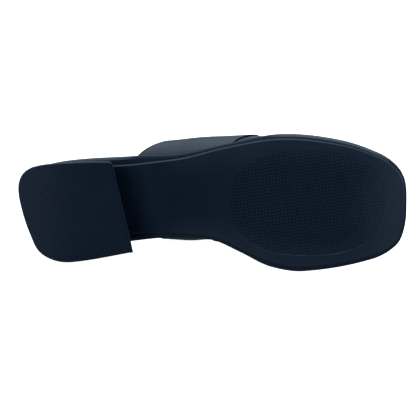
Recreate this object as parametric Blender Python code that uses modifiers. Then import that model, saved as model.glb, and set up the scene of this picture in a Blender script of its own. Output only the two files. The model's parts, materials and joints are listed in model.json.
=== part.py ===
"""Heeled mule, right shoe: crossing straps on a wrapped footbed, a rubber outsole and a flared block heel.

Sizes are millimetres in the shoe's own frame: x runs from the back of the footbed to the toe, y towards the
inner side of the foot, z up from the ground under the worn shoe. The finished shoe lies on its inner side.
"""

import math
from bisect import bisect_right
from collections import namedtuple

import bmesh
import bpy
from mathutils import Matrix, Vector
from mathutils.geometry import interpolate_bezier

OBJECT_NAME = "heeled_mule"
MM = 0.001

# Thicknesses, from the ground up
GAP = 0.3
OUTSOLE_THICK = 3.5
FOOTBED_THICK = 7.5
INSOLE_THICK = 1.5
STRAP_WALL = 2.0
TOP_PIECE_THICK = 5.0

# Heights of the layers above the underside of the outsole, square to the sole
FOOTBED_MIDDLE = OUTSOLE_THICK + GAP + FOOTBED_THICK / 2
FOOTBED_TOP = FOOTBED_MIDDLE + FOOTBED_THICK / 2
INSOLE_BASE = FOOTBED_TOP + GAP

# Rounding of the edges
OUTSOLE_BEVEL = 0.8
FOOTBED_ROUNDING = 3.0
INSOLE_BEVEL = 0.4
HEEL_BEVEL = 1.0

# Straps: where they leave the footbed, how they flare, how one steps over the other, what trims their roots
STRAP_INSET = 5.2
INSOLE_INSET = 5.6
FLARE_OUTER = 20.0
FLARE_INNER = 17.0
STRAP_TUCK = 4.0
STRAP_OVERLAP = 1.2
STEP_RAMP = 24.0
CLEARANCE_SPREAD = 8.0
CLEARANCE_DEPTH = 14.0

# Line of the heel's breast under the seat, at its outer and inner ends
BREAST_OUTER = Vector((59.2, -27.0))
BREAST_INNER = Vector((71.5, 18.0))
SEAT_MARGIN = 1.0

# Cells of the meshes
SOLE_CELLS = (32, 12)
STRAP_CELLS = (8, 32)
HEEL_RING = 44
CURVE_STEPS = 48
SECTION_STEPS = 24
SHARP_ANGLE = math.radians(40)

# Most that the lying shoe may lean from its inner side
MOST_LEAN = math.radians(35)

EdgePoint = namedtuple("EdgePoint", "place x y")
FOOTBED_EDGE = [EdgePoint(*row) for row in (
    ("outer heel", 8.5, -22.5),
    ("outer seat", 26.0, -29.6),
    ("outer waist rear", 76.0, -33.3),
    ("outer waist", 106.0, -35.1),
    ("outer arch", 134.5, -41.3),
    ("outer ball", 170.0, -47.8),
    ("outer toes", 207.0, -44.2),
    ("outer toe side", 233.4, -35.4),
    ("outer toe", 244.9, -27.4),
    ("outer toe end", 250.4, -18.1),
    ("toe", 251.6, -3.0),
    ("inner toe end", 250.6, 11.7),
    ("inner toe", 245.3, 23.5),
    ("inner toe side", 229.0, 32.4),
    ("inner ball", 185.0, 39.8),
    ("inner ball rear", 163.5, 36.8),
    ("inner arch front", 144.2, 27.9),
    ("inner arch", 126.0, 20.9),
    ("inner waist", 100.0, 20.8),
    ("inner breast", 72.0, 24.2),
    ("inner seat", 36.0, 29.4),
    ("inner heel", 9.5, 20.5),
    ("heel back", 0.0, -1.0),
)]
SHEET_CORNERS = ("outer heel", "outer toe", "inner toe", "inner heel")

# Underside of the outsole along the shoe: seat, arch, flat tread and toe spring
ProfilePoint = namedtuple("ProfilePoint", "place x z slope")
SOLE_PROFILE = [ProfilePoint(*row) for row in (
    ("heel back", -10.0, 36.44, -0.044),
    ("breast", 72.0, 32.83, -0.044),
    ("arch", 120.0, 13.5, -0.48),
    ("tread start", 165.0, 0.0, 0.0),
    ("tread end", 195.0, 0.0, 0.0),
    ("toe", 252.0, 7.5, 0.26),
)]

# How far the outsole's edge lies inside the edge of the footbed
InsetPoint = namedtuple("InsetPoint", "x inset")
OUTSOLE_INSET = [InsetPoint(*row) for row in (
    (0.0, 4.5),
    (70.0, 5.4),
    (100.0, 3.3),
    (135.0, 2.0),
    (175.0, 3.0),
    (252.0, 2.6),
)]

# Ground outline of the heel, from the inner end of its breast round the back to the outer end
HEEL_FOOT = [EdgePoint(*row) for row in (
    ("inner breast", 76.6, 27.2),
    ("inner side", 43.0, 33.0),
    ("inner quarter", 29.0, 33.2),
    ("inner corner", 17.2, 27.2),
    ("inner back", 11.2, 15.2),
    ("back", 6.4, 0.0),
    ("outer back", 4.2, -14.0),
    ("outer corner", 6.8, -22.5),
    ("outer quarter", 14.0, -27.4),
    ("outer side", 30.0, -29.7),
    ("outer breast corner", 61.8, -30.7),
    ("outer breast", 63.9, -28.9),
)]

# Sections of the last: widest reach on each side, and the ridge of the instep above the footbed
LastSection = namedtuple("LastSection", "x outer inner ridge height")
LAST = [LastSection(*row) for row in (
    (76.0, -40.0, 22.5, -8.0, 73.0),
    (100.0, -41.8, 22.4, -8.0, 66.0),
    (113.0, -42.7, 22.5, -7.5, 61.9),
    (125.0, -43.4, 21.0, -7.0, 58.0),
    (140.0, -44.0, 23.0, -6.0, 52.5),
    (150.0, -44.6, 26.0, -5.3, 48.6),
    (158.0, -44.6, 28.7, -4.5, 45.7),
    (172.0, -43.5, 33.0, -3.0, 41.0),
)]

# Edges of the straps along the shoe, by the share of the way over the foot from the outer to the inner root
StrapEdges = namedtuple("StrapEdges", "share rear front")
OVER_STRAP = [StrapEdges(*row) for row in (
    (0.0, 69.3, 136.6),
    (0.055, 75.2, 140.0),
    (0.1, 82.0, 145.4),
    (0.17, 95.5, 155.5),
    (0.3, 106.0, 162.5),
    (0.5, 115.0, 165.0),
    (0.75, 124.0, 166.5),
    (1.0, 131.0, 168.0),
)]
UNDER_STRAP = [StrapEdges(*row) for row in (
    (0.0, 124.0, 166.0),
    (0.1, 122.5, 163.0),
    (0.2, 121.0, 157.0),
    (0.3, 118.5, 152.0),
    (0.5, 113.0, 147.0),
    (0.75, 102.0, 145.0),
    (0.9, 92.0, 143.0),
    (1.0, 84.0, 142.0),
)]

# Materials: base colour (linear), roughness
Finish = namedtuple("Finish", "colour roughness")
FINISHES = {
    "black_rubber": Finish((0.0065, 0.0115, 0.0205), 0.62),
    "black_leather": Finish((0.0180, 0.0220, 0.0270), 0.45),
    "black_sock": Finish((0.0160, 0.0180, 0.0210), 0.60),
    "painted_heel": Finish((0.0090, 0.0140, 0.0220), 0.40),
}


def hermite(x, start, end):
    """Height at x on the cubic between two (x, value, slope) points."""
    span = end[0] - start[0]
    t = (x - start[0]) / span
    rise = end[1] - start[1]
    bend_in = start[2] * span - rise
    bend_out = rise - end[2] * span
    return start[1] + rise * t + t * (1 - t) * ((1 - t) * bend_in + t * bend_out)


def row_before(keys, x):
    """Index of the row that begins the stretch holding x, from the rows' rising keys."""
    return min(max(bisect_right(keys, x) - 1, 0), len(keys) - 2)


def smooth_value(rows, x, column):
    """Value of a column at x, on a smooth curve through the rows of a table whose first column is its key."""
    knots = [(row[0], getattr(row, column)) for row in rows]

    def slope(index):
        low = knots[max(index - 1, 0)]
        high = knots[min(index + 1, len(knots) - 1)]
        return (high[1] - low[1]) / (high[0] - low[0])

    i = row_before([key for key, value in knots], x)
    return hermite(x, (*knots[i], slope(i)), (*knots[i + 1], slope(i + 1)))


def smoothstep(share):
    """Eased step from 0 to 1."""
    t = min(max(share, 0.0), 1.0)
    return t * t * (3 - 2 * t)


def sole_height(x, lift=0.0):
    """Height of the sole at x, raised square to its slope."""
    i = row_before([row.x for row in SOLE_PROFILE], x)
    start, end = ((row.x, row.z, row.slope) for row in SOLE_PROFILE[i:i + 2])
    step = 0.5
    slope = (hermite(x + step, start, end) - hermite(x - step, start, end)) / (2 * step)
    return hermite(x, start, end) + lift * math.hypot(1.0, slope)


def smooth_path(points, closed):
    """Dense points on a smooth curve through a few flat points."""
    count = len(points)
    path = []
    for i in range(count if closed else count - 1):
        start, end = points[i], points[(i + 1) % count]
        before = points[i - 1] if closed or i > 0 else start
        after = points[(i + 2) % count] if closed or i + 2 < count else end
        reach = (end - start).length / 3
        leave = start + (end - before).normalized() * reach
        arrive = end - (after - start).normalized() * reach
        path += interpolate_bezier(start, leave, arrive, end, CURVE_STEPS + 1)[:-1]
    return path if closed else path + [points[-1]]


def along(path, share):
    """Point at a share of the length of a dense path."""
    lengths = [0.0]
    for start, end in zip(path, path[1:]):
        lengths.append(lengths[-1] + (end - start).length)
    want = share * lengths[-1]
    i = min(bisect_right(lengths, want) - 1, len(path) - 2)
    return path[i].lerp(path[i + 1], (want - lengths[i]) / (lengths[i + 1] - lengths[i]))


def footbed_path():
    """Edge of the footbed as a dense closed path, turning left all the way round."""
    return smooth_path([Vector((row.x, row.y)) for row in FOOTBED_EDGE], closed=True)


def inset_path(inset):
    """Edge of the footbed moved inwards by inset(x)."""
    path = footbed_path()
    moved = []
    for i, point in enumerate(path):
        run = (path[(i + 1) % len(path)] - path[i - 1]).normalized()
        moved.append(point + Vector((-run.y, run.x)) * inset(point.x))
    return moved


def outsole_inset(x):
    """Distance of the outsole's edge inside the footbed's edge."""
    return smooth_value(OUTSOLE_INSET, x, "inset")


def edge_at(path, x, side):
    """Reach of a closed path across the shoe at x, on the outer (-1) or inner (+1) side."""
    reach = 0.0
    for start, end in zip(path, path[1:] + path[:1]):
        if (start.x - x) * (end.x - x) <= 0 and start.x != end.x:
            y = start.lerp(end, (x - start.x) / (end.x - start.x)).y
            reach = max(reach, side * y)
    return side * reach


def new_object(name, mesh, collection, finish):
    """Object for a mesh, smooth shaded, in its collection and with its material."""
    piece = bpy.data.objects.new(name, mesh)
    collection.objects.link(piece)
    mesh.materials.append(finish)
    mesh.shade_smooth()
    mesh.set_sharp_from_angle(angle=SHARP_ANGLE)
    return piece


def sheet(cells, place):
    """Grid mesh whose points are set by place(u, v), both running from 0 to 1."""
    grid = bmesh.new()
    bmesh.ops.create_grid(grid, x_segments=cells[0], y_segments=cells[1], size=0.5)
    for vert in grid.verts:
        vert.co = place(vert.co.x + 0.5, vert.co.y + 0.5) * MM
    mesh = bpy.data.meshes.new("sheet")
    grid.to_mesh(mesh)
    grid.free()
    return mesh


def sole_sheet(inset, lift):
    """Sheet with the outline of the sole, filled between its four sides."""
    path = inset_path(inset)
    places = [row.place for row in FOOTBED_EDGE]
    corners = [places.index(name) * CURVE_STEPS for name in SHEET_CORNERS]
    outer_heel, outer_toe, inner_toe, inner_heel = corners
    outer = path[outer_heel:outer_toe + 1]
    toe = path[outer_toe:inner_toe + 1]
    inner = path[inner_toe:inner_heel + 1][::-1]
    heel = (path[inner_heel:] + path[:1])[::-1]

    def place(u, v):
        across = along(outer, u).lerp(along(inner, u), v)
        lengthways = along(heel, v).lerp(along(toe, v), u)
        between_corners = outer[0].lerp(inner[0], v).lerp(outer[-1].lerp(inner[-1], v), u)
        flat = across + lengthways - between_corners
        return Vector((flat.x, flat.y, sole_height(flat.x, lift)))

    return sheet(SOLE_CELLS, place)


def thicken(piece, thickness, offset):
    """Gives a sheet its wall, on the side that offset names."""
    wall = piece.modifiers.new("wall", "SOLIDIFY")
    wall.thickness = thickness * MM
    wall.offset = offset
    wall.use_even_offset = True


def round_edges(piece, width, segments):
    """Rounds the sharp edges of a piece."""
    bevel = piece.modifiers.new("edges", "BEVEL")
    bevel.width = width * MM
    bevel.segments = segments
    bevel.limit_method = "ANGLE"
    bevel.angle_limit = SHARP_ANGLE


def make_outsole(collection, finish):
    """Rubber outsole, flat under the tread, with a chamfered edge."""
    outsole = new_object("outsole", sole_sheet(outsole_inset, 0.0), collection, finish)
    thicken(outsole, OUTSOLE_THICK, 1.0)
    round_edges(outsole, OUTSOLE_BEVEL, 1)
    return outsole


def make_footbed(collection, finish):
    """Wrapped footbed with a rounded rim that stands out over the outsole."""
    footbed = new_object("footbed", sole_sheet(lambda x: 0.0, FOOTBED_MIDDLE), collection, finish)
    thicken(footbed, FOOTBED_THICK, 0.0)
    round_edges(footbed, FOOTBED_ROUNDING, 3)
    return footbed


def make_insole(collection, finish):
    """Thin sock on the footbed, inside the roots of the straps."""
    insole = new_object("insole", sole_sheet(lambda x: INSOLE_INSET, INSOLE_BASE), collection, finish)
    thicken(insole, INSOLE_THICK, 1.0)
    round_edges(insole, INSOLE_BEVEL, 1)
    return insole


def seat_path():
    """Edge of the heel under its seat, inside the outsole, from the breast's inner end round the back."""
    path = inset_path(lambda x: outsole_inset(x) + SEAT_MARGIN)
    lean = (BREAST_INNER.x - BREAST_OUTER.x) / (BREAST_INNER.y - BREAST_OUTER.y)
    ahead = [point.x > BREAST_OUTER.x + lean * (point.y - BREAST_OUTER.y) for point in path]
    first = ahead.index(True)
    last = len(path) - ahead[::-1].index(True)
    return path[last:] + path[:first]


def heel_solid(heights):
    """Loft between the heel's ground outline and its seat, cut at a lower and an upper height."""
    foot = smooth_path([Vector((row.x, row.y)) for row in HEEL_FOOT], closed=False)
    seat = seat_path()
    solid = bmesh.new()
    rings = []
    for height in heights:
        ring = []
        for i in range(HEEL_RING):
            share = i / (HEEL_RING - 1)
            low = along(foot, share).to_3d()
            high = along(seat, share).to_3d()
            high.z = sole_height(high.x) - GAP
            t = 1.0 if height is None else height / high.z
            ring.append(solid.verts.new(low.lerp(high, t) * MM))
        rings.append(ring)
    lower, upper = rings
    solid.faces.new(lower)
    solid.faces.new(upper[::-1])
    for i in range(HEEL_RING):
        solid.faces.new((lower[i - 1], upper[i - 1], upper[i], lower[i]))
    bmesh.ops.recalc_face_normals(solid, faces=solid.faces)
    mesh = bpy.data.meshes.new("heel")
    solid.to_mesh(mesh)
    solid.free()
    return mesh


def make_heel_block(collection, finish):
    """Block heel, flared towards the ground, with its top flat against the sloping seat."""
    block = new_object("heel_block", heel_solid((TOP_PIECE_THICK + GAP, None)), collection, finish)
    round_edges(block, HEEL_BEVEL / 2, 1)
    return block


def make_top_piece(collection, finish):
    """Rubber top piece that the heel stands on."""
    piece = new_object("heel_top_piece", heel_solid((0.0, TOP_PIECE_THICK)), collection, finish)
    round_edges(piece, HEEL_BEVEL, 2)
    return piece


def last_section(x, rim):
    """Inner face of the upper at x, as a dense path from the outer to the inner root."""
    base = sole_height(x, FOOTBED_TOP)
    ridge = smooth_value(LAST, x, "ridge")
    top = smooth_value(LAST, x, "height")
    halves = []
    for side, column, flare in ((-1, "outer", FLARE_OUTER), (1, "inner", FLARE_INNER)):
        reach = smooth_value(LAST, x, column)
        root = edge_at(rim, x, side) - side * STRAP_INSET
        half = []
        for i in range(SECTION_STEPS):
            z = -STRAP_TUCK + (flare + STRAP_TUCK) * i / SECTION_STEPS
            y = reach + (root - reach) * (1 - z / flare) ** 2
            half.append(Vector((y, base + z)))
        for i in range(SECTION_STEPS + 1):
            turn = math.pi / 2 * i / SECTION_STEPS
            y = ridge + (reach - ridge) * math.cos(turn)
            half.append(Vector((y, base + flare + (top - flare) * math.sin(turn))))
        halves.append(half)
    outer, inner = halves
    return outer + inner[-2::-1]


def strap_sheet(edges, rim):
    """Sheet of one strap, on the inner face of the upper."""

    def place(u, v):
        rear = smooth_value(edges, v, "rear")
        front = smooth_value(edges, v, "front")
        x = rear + (front - rear) * u
        across = along(last_section(x, rim), v)
        return Vector((x, across.x, across.y))

    return sheet(STRAP_CELLS, place)


def step_over(mesh):
    """Raises the upper strap where it crosses the lower one."""
    strap = bmesh.new()
    strap.from_mesh(mesh)
    strap.normal_update()
    rise = STRAP_WALL - STRAP_OVERLAP
    for i, vert in enumerate(strap.verts):
        share = (i // (STRAP_CELLS[0] + 1)) / STRAP_CELLS[1]
        x = vert.co.x / MM
        ahead_of_rear = x - smooth_value(UNDER_STRAP, share, "rear")
        behind_front = smooth_value(UNDER_STRAP, share, "front") - x
        inside = min(ahead_of_rear, behind_front)
        vert.co += vert.normal * (rise * smoothstep(1 + inside / STEP_RAMP) * MM)
    strap.to_mesh(mesh)
    strap.free()


def as_cutter(piece):
    """Keeps a piece as a helper that only shapes another."""
    piece.hide_render = True
    piece.display_type = "WIRE"


def combine(piece, operation, tool):
    """Joins a helper to a piece, or cuts it away."""
    boolean = piece.modifiers.new(operation.lower(), "BOOLEAN")
    boolean.operation = operation
    boolean.solver = "MANIFOLD"
    boolean.object = tool


def make_upper(collection, cutters, finish):
    """Two straps with their real wall, one over the other, joined and cut off just above the footbed."""
    rim = footbed_path()
    upper = new_object("upper", strap_sheet(UNDER_STRAP, rim), collection, finish)
    thicken(upper, STRAP_WALL, 1.0)

    over_mesh = strap_sheet(OVER_STRAP, rim)
    step_over(over_mesh)
    over = new_object("over_strap", over_mesh, cutters, finish)
    thicken(over, STRAP_WALL, 1.0)

    below = sole_sheet(lambda x: -CLEARANCE_SPREAD, FOOTBED_TOP + GAP)
    floor = new_object("footbed_clearance", below, cutters, finish)
    thicken(floor, CLEARANCE_DEPTH, -1.0)

    for tool in (over, floor):
        as_cutter(tool)
    combine(upper, "UNION", over)
    combine(upper, "DIFFERENCE", floor)
    return upper


def world_points(piece):
    """Corners of a finished piece."""
    finished = piece.evaluated_get(bpy.context.evaluated_depsgraph_get())
    return [finished.matrix_world @ vert.co for vert in finished.data.vertices]


def resting_side(pieces, upper):
    """Outward normal of the widest flat of the shoe's hull between the sole's inner edge and the upper."""
    inner_side = Vector((0.0, 1.0, 0.0))
    hull = bmesh.new()
    upper_corners = set()
    for piece in pieces:
        corners = [hull.verts.new(point) for point in world_points(piece)]
        if piece is upper:
            upper_corners.update(corners)
    bmesh.ops.convex_hull(hull, input=hull.verts)
    hull.normal_update()
    flats = [
        face for face in hull.faces
        if face.normal.angle(inner_side) < MOST_LEAN and not upper_corners.isdisjoint(face.verts)
    ]
    normal = max(flats, key=lambda face: face.calc_area()).normal.copy()
    hull.free()
    return normal


def lay_down(stand, pieces, upper):
    """Turns the shoe onto its inner side, sole edge and upper on the floor, with its box centred."""
    up = -resting_side(pieces, upper)
    forward = Vector((1.0, 0.0, 0.0))
    forward = (forward - up * forward.dot(up)).normalized()
    stand.matrix_world = Matrix((forward, up.cross(forward), up)).to_4x4()
    bpy.context.view_layer.update()
    points = [point for piece in pieces for point in world_points(piece)]
    low = [min(point[axis] for point in points) for axis in range(3)]
    high = [max(point[axis] for point in points) for axis in range(3)]
    stand.location = (-(low[0] + high[0]) / 2, -(low[1] + high[1]) / 2, -low[2])


def make_finish(name, finish):
    """Principled material of one finish."""
    material = bpy.data.materials.new(name)
    material.use_nodes = True
    shader = material.node_tree.nodes["Principled BSDF"]
    shader.inputs["Base Color"].default_value = (*finish.colour, 1.0)
    shader.inputs["Roughness"].default_value = finish.roughness
    shader.inputs["Metallic"].default_value = 0.0
    return material


def new_collection(name):
    """Collection linked to the scene."""
    collection = bpy.data.collections.new(name)
    bpy.context.scene.collection.children.link(collection)
    return collection


def main():
    """Builds the shoe, then lays it on its inner side."""
    for old in list(bpy.data.objects):
        bpy.data.objects.remove(old)
    shoe = new_collection(OBJECT_NAME)
    cutters = new_collection("cutters")
    finishes = {name: make_finish(name, finish) for name, finish in FINISHES.items()}

    upper = make_upper(shoe, cutters, finishes["black_leather"])
    pieces = [
        make_outsole(shoe, finishes["black_rubber"]),
        make_footbed(shoe, finishes["black_leather"]),
        make_insole(shoe, finishes["black_sock"]),
        make_heel_block(shoe, finishes["painted_heel"]),
        make_top_piece(shoe, finishes["black_rubber"]),
        upper,
    ]

    stand = bpy.data.objects.new("rest_pose", None)
    shoe.objects.link(stand)
    for piece in pieces + list(cutters.objects):
        piece.parent = stand
    bpy.context.view_layer.update()
    lay_down(stand, pieces, upper)
    bpy.context.view_layer.update()


main()
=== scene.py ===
"""Looks of the heeled mule, a right shoe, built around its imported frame.

Sizes are millimetres in the shoe's own frame: x runs from the back of the footbed to the toe, y towards the
inner side of the foot, z up from the ground under the worn shoe. Each piece is modelled there, and is then
laid down with the shoe, which rests on its inner side.
"""

import json
import math
from bisect import bisect_right
from collections import namedtuple
from functools import partial

import bmesh
import bpy
from bpy.props import FloatProperty, FloatVectorProperty, PointerProperty
from mathutils import Matrix, Vector
from mathutils.geometry import interpolate_bezier


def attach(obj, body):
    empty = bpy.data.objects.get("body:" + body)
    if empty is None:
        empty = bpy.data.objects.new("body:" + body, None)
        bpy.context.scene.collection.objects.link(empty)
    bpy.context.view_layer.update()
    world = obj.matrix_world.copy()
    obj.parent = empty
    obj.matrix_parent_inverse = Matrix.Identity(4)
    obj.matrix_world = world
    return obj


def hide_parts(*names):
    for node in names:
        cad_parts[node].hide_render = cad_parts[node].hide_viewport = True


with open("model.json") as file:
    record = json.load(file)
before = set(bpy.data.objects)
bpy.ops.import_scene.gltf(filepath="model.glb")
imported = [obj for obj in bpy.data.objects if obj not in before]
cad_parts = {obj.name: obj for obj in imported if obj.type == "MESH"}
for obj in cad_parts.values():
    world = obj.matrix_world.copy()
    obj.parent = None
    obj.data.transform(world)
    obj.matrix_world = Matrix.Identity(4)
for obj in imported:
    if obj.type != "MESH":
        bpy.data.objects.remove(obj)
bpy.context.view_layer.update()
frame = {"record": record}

bl_info = {
    "name": "Heeled mule",
    "version": (1, 0, 0),
    "blender": (4, 5, 0),
    "location": "3D View > Sidebar > Mule",
    "description": "Dresses the heeled mule: sole, tread, footbed, sock, heel and straps, and its studio",
    "category": "Add Mesh",
}

MM = 0.001
BODY = "root"

# Layers of the sole, from the ground up, and the rounding of their edges
GAP = 0.3
OUTSOLE_THICK = 3.5
FOOTBED_LOW = OUTSOLE_THICK + GAP
FOOTBED_TOP = FOOTBED_LOW + 7.5
SOCK_LOW = FOOTBED_TOP + GAP
SOCK_TOP = SOCK_LOW + 1.5
TOP_PIECE_THICK = 5.0
OUTSOLE_CHAMFER = 0.9
FOOTBED_ROUNDING = 3.0
HEEL_CHAMFER = 1.0
HEEL_ROUNDING = 0.25

# Sock: its edge, its crowned middle, and its stitch channel as steps across and drops, in shares of its size
SOCK_INSET = 5.6
SOCK_ROUNDING = 0.7
SOCK_LOW_ROUNDING = 0.2
SOCK_CROWN = 0.4
CROWN_GROWTH = 1.5
CHANNEL_INSET = 3.2
CHANNEL_DEPTH = 0.45
CHANNEL_HALF_WIDTH = 0.7
CHANNEL_SHAPE = ((-2, 0.0), (-1, 0.0), (-0.5, 0.8), (0.0, 1.0), (0.5, 0.8), (1, 0.0), (2, 0.0))
# A stitch fills this stretch of its step, and stands this share of its thickness proud
STITCH_STRETCH = (0.1, 0.9)
STITCH_PROUD = 0.3

# Faces of an edge lean this far from level, and its painted highlight comes in as they turn this far outwards
EDGE_FACING = 0.8
# The outer side of an edge lies uppermost under the lights and is painted paler: a painted highlight
EDGE_HIGHLIGHT = "trimming"
EDGE_HIGHLIGHT_OUTWARDS = (0.0, -0.5)
# Faces of the footbed that look as squarely down as this are tucked in against the outsole
# Those faces take the dark edge ink as painted shade in the recess between footbed and outsole
TUCK_SHADE_FACING = 0.93

# Painted sheen on the rubber, paler where the light falls: its strength at the sides, the toe, the back of the
# heel and on the tread and ribs, how far it reaches in from the sides, and where it starts and ends along the
# shoe
PAINTED_LIGHT = "paling"
PAINTED_SHEEN_SIDES = 0.5
PAINTED_SHEEN_TOE = 0.9
PAINTED_SHEEN_HEEL = 0.65
PAINTED_SHEEN_TREAD = 0.18
SIDES_REACH = 24.0
SIDES_FROM = (80.0, 110.0)
TOE_FROM = (205.0, 253.0)
HEEL_FROM = (48.0, 4.0)
# Painted light on the footbed's rim on its outer, upper side, where no strap shades it: it fades out at the
# straps and at the toe, and as the rim turns in under the footbed
RIM_LIGHT_OUTWARDS = (-20.0, -28.0)
RIM_LIGHT_REAR = (76.0, 62.0)
RIM_LIGHT_FRONT = (160.0, 174.0)
RIM_LIGHT_TOE = (246.0, 226.0)
RIM_LIGHT_UNDER = (1.05, 0.8)

# How far the cells of the leather's grain are bent out of shape
GRAIN_BEND = 0.6

# Line of the heel's breast under the seat, at its outer and inner ends, and the middle of the heel
BREAST_OUTER = Vector((59.2, -27.0))
BREAST_INNER = Vector((71.5, 18.0))
SEAT_MARGIN = 1.0
HEEL_MIDDLE = Vector((40.0, 0.0))

# Straps: where they leave the footbed, how they flare, and how one steps over the other
STRAP_INSET = 5.2
FLARE_OUTER = 20.0
FLARE_INNER = 17.0
STRAP_TUCK = 4.0
STRAP_OVERLAP = 1.2
STEP_RAMP = 24.0
EDGE_INK = {"rear": 1.0, "front": 0.45}
STRAP_LENGTH = 180.0

# Forefoot tread: an oval panel sunk into the sole, and the lean of its grid from the shoe's length
TREAD_MIDDLE = Vector((187.0, -4.0))
TREAD_HALF = Vector((49.0, 33.0))
TREAD_SQUARENESS = 2.5
TREAD_SUNK = 0.4
TREAD_WALL = 0.7
TREAD_RIM = 0.3
TREAD_LEAN = math.radians(-9)
# Ribs under the heel: their margin, wall and stand, and the share of their pitch that each side slopes
RIB_MARGIN = 1.3
RIB_WALL = 0.5
RIB_STAND = 0.02
RIB_SLOPE = 0.25
# Both patterns start from a larger field and are cut to their outline by a block that reaches past them
TREAD_SPARE = 1.15
TREAD_CUT = 3.0
RIB_FIELD = Vector((80.0, 76.0))
RIB_SPARE = 8.0
RIB_CUT = 5.0

# Meshes: points along the sides and round the ends of the sole, cells of the straps, points round the heel
SPINE_ENDS = (38.0, 214.0)
RIM_FROM, RIM_TO = 1, 250
SIDE_STEPS = 88
END_STEPS = 40
ACROSS_STEPS = 6
ARC_STEPS = 6
STRAP_CELLS = (26, 100)
HEEL_RING = 150
HEEL_CORNER = 0.015
BREAST_RING = 24
OVAL_RING = 120
CURVE_STEPS = 48
SECTION_STEPS = 24
STITCH_SEGMENTS = (6, 5)
SLOPE_STEP = 0.5
SLANT_STEP = 0.01
MERGE = 0.002
SHARP_ANGLE = math.radians(40)

# Stage: the floor's side, and the distances between which its glow grows to its full strength, in metres;
# the heights that the light from all round runs between, and its stops on that way; the point of the sole
# that the camera looks at, in millimetres
FLOOR_SIZE = 12.0
GLOW_REACH = (0.25, 0.9)
SKY_HEIGHTS = (-0.1, 0.4)
SKY_STOPS = (0.0, 0.1, 0.2, 0.8, 1.0)
CAMERA_TARGET = Vector((125.0, 0.0, 0.0))
SENSOR_WIDTH = 36.0
CLIP_START = 0.01

# Lights, in metres; one that doesn't show is kept out of reflections
Softbox = namedtuple("Softbox", "name place target size power shows")
SOFTBOXES = [Softbox(*row) for row in (
    ("back_softbox", (-0.1, 0.95, 1.05), (0.0, 0.0, 0.04), (1.8, 0.9), "back_power", True),
    ("top_softbox", (0.0, -0.05, 1.3), (0.0, 0.0, 0.04), (0.8, 0.5), "top_power", True),
    ("rear_softbox", (0.1, 1.5, 0.5), (0.0, 0.0, 0.04), (1.2, 0.8), "rear_power", False),
    ("left_softbox", (-0.55, -1.55, 0.55), (0.0, 0.0, 0.04), (0.8, 0.8), "left_power", True),
    ("right_softbox", (0.6, -0.3, 0.25), (0.1, 0.0, 0.04), (0.3, 0.3), "right_power", True),
)]

# Ground points of the shoe that the record mounts, in the shoe's own frame
GROUND_MOUNTS = {
    "heel_ground": Vector((38.0, 0.0)),
    "tread_ground": Vector((180.0, -4.0)),
}

EdgePoint = namedtuple("EdgePoint", "place x y")
FOOTBED_EDGE = [EdgePoint(*row) for row in (
    ("outer heel", 8.5, -22.5),
    ("outer seat", 26.0, -29.6),
    ("outer waist rear", 76.0, -33.3),
    ("outer waist", 106.0, -35.1),
    ("outer arch", 134.5, -41.3),
    ("outer ball", 170.0, -47.8),
    ("outer toes", 207.0, -44.2),
    ("outer toe side", 233.4, -35.4),
    ("outer toe", 244.9, -27.4),
    ("outer toe end", 250.4, -18.1),
    ("toe", 251.6, -3.0),
    ("inner toe end", 250.6, 11.7),
    ("inner toe", 245.3, 23.5),
    ("inner toe side", 229.0, 32.4),
    ("inner ball", 185.0, 39.8),
    ("inner ball rear", 163.5, 36.8),
    ("inner arch front", 144.2, 27.9),
    ("inner arch", 126.0, 20.9),
    ("inner waist", 100.0, 20.8),
    ("inner breast", 72.0, 24.2),
    ("inner seat", 36.0, 29.4),
    ("inner heel", 9.5, 20.5),
    ("heel back", 0.0, -1.0),
)]

# Underside of the outsole along the shoe: seat, arch, flat tread and toe spring
ProfilePoint = namedtuple("ProfilePoint", "place x z slope")
SOLE_PROFILE = [ProfilePoint(*row) for row in (
    ("heel back", -10.0, 36.44, -0.044),
    ("breast", 72.0, 32.83, -0.044),
    ("arch", 120.0, 13.5, -0.48),
    ("tread start", 165.0, 0.0, 0.0),
    ("tread end", 195.0, 0.0, 0.0),
    ("toe", 252.0, 7.5, 0.26),
)]

# How far the outsole's edge lies inside the edge of the footbed
InsetPoint = namedtuple("InsetPoint", "x inset")
OUTSOLE_INSET = [InsetPoint(*row) for row in (
    (0.0, 4.5),
    (70.0, 5.4),
    (100.0, 3.3),
    (135.0, 2.0),
    (175.0, 3.0),
    (252.0, 2.6),
)]

# Ground outline of the heel, from the inner end of its breast round the back to the outer end
HEEL_FOOT = [EdgePoint(*row) for row in (
    ("inner breast", 76.6, 27.2),
    ("inner side", 43.0, 33.0),
    ("inner quarter", 29.0, 33.2),
    ("inner corner", 17.2, 27.2),
    ("inner back", 11.2, 15.2),
    ("back", 6.4, 0.0),
    ("outer back", 4.2, -14.0),
    ("outer corner", 6.8, -22.5),
    ("outer quarter", 14.0, -27.4),
    ("outer side", 30.0, -29.7),
    ("outer breast corner", 61.8, -30.7),
    ("outer breast", 63.9, -28.9),
)]

# Sections of the last: widest reach on each side, and the ridge of the instep above the footbed
LastSection = namedtuple("LastSection", "x outer inner ridge height")
LAST = [LastSection(*row) for row in (
    (76.0, -40.0, 22.5, -8.0, 73.0),
    (100.0, -41.8, 22.4, -8.0, 66.0),
    (113.0, -42.7, 22.5, -7.5, 61.9),
    (125.0, -43.4, 21.0, -7.0, 58.0),
    (140.0, -44.0, 23.0, -6.0, 52.5),
    (150.0, -44.6, 26.0, -5.3, 48.6),
    (158.0, -44.6, 28.7, -4.5, 45.7),
    (172.0, -43.5, 33.0, -3.0, 41.0),
)]

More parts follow.
